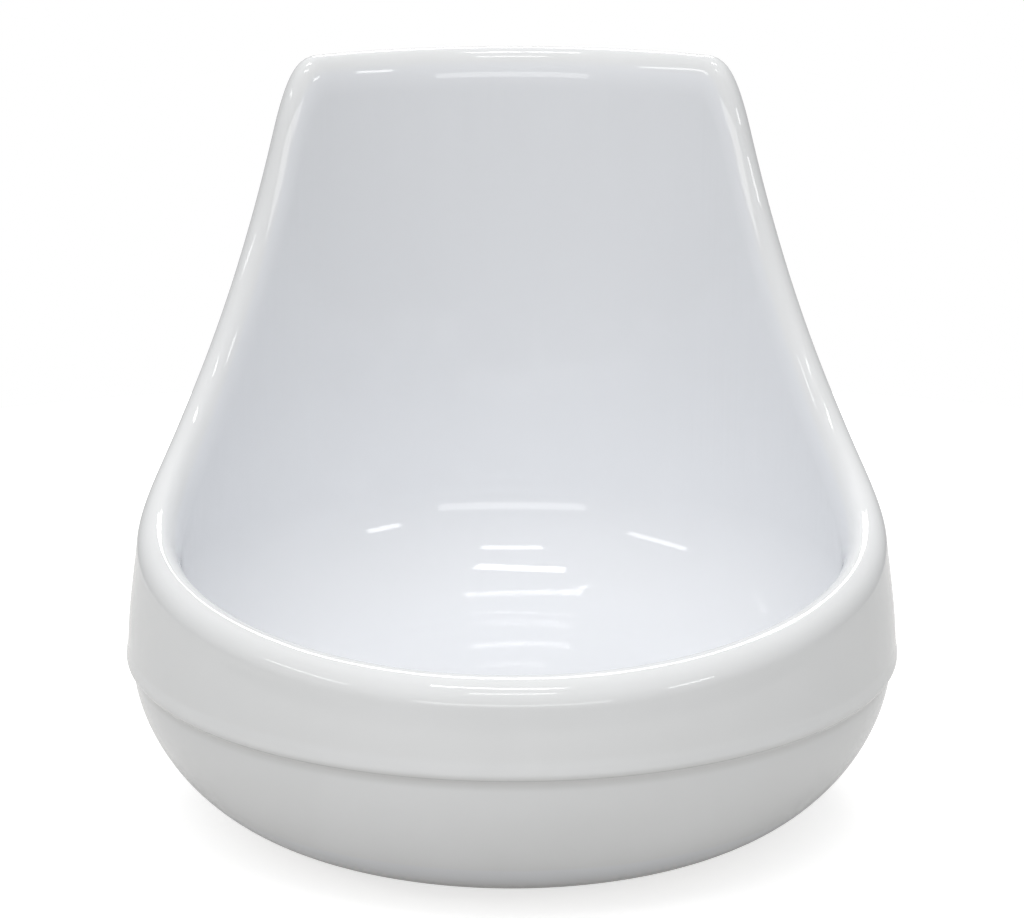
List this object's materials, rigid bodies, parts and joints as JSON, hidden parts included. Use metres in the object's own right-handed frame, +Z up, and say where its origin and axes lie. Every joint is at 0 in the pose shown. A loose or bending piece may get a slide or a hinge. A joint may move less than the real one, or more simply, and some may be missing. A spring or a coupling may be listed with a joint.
{
  "type": "spoon rest",
  "caption": "Upright glazed stoneware spoon rest: a round bowl for the spoon's head with a tall curved back wall that the handle leans on.",
  "frame": {"origin": "centre of the foot ring, on the plane that it stands on", "axes": "+Z up; the low front of the bowl faces -Y, the tall back wall is at +Y, and +X is to the right as seen from the front"},
  "size_m": [0.1402, 0.1404, 0.1302],
  "materials": {
    "clay": "matt unglazed stoneware, bare only on the foot ring",
    "glaze": "smooth glossy white glaze"
  },
  "bodies": {
    "root": {"stoneware_body": "clay", "glaze_coat": "glaze"}
  },
  "joints": []
}
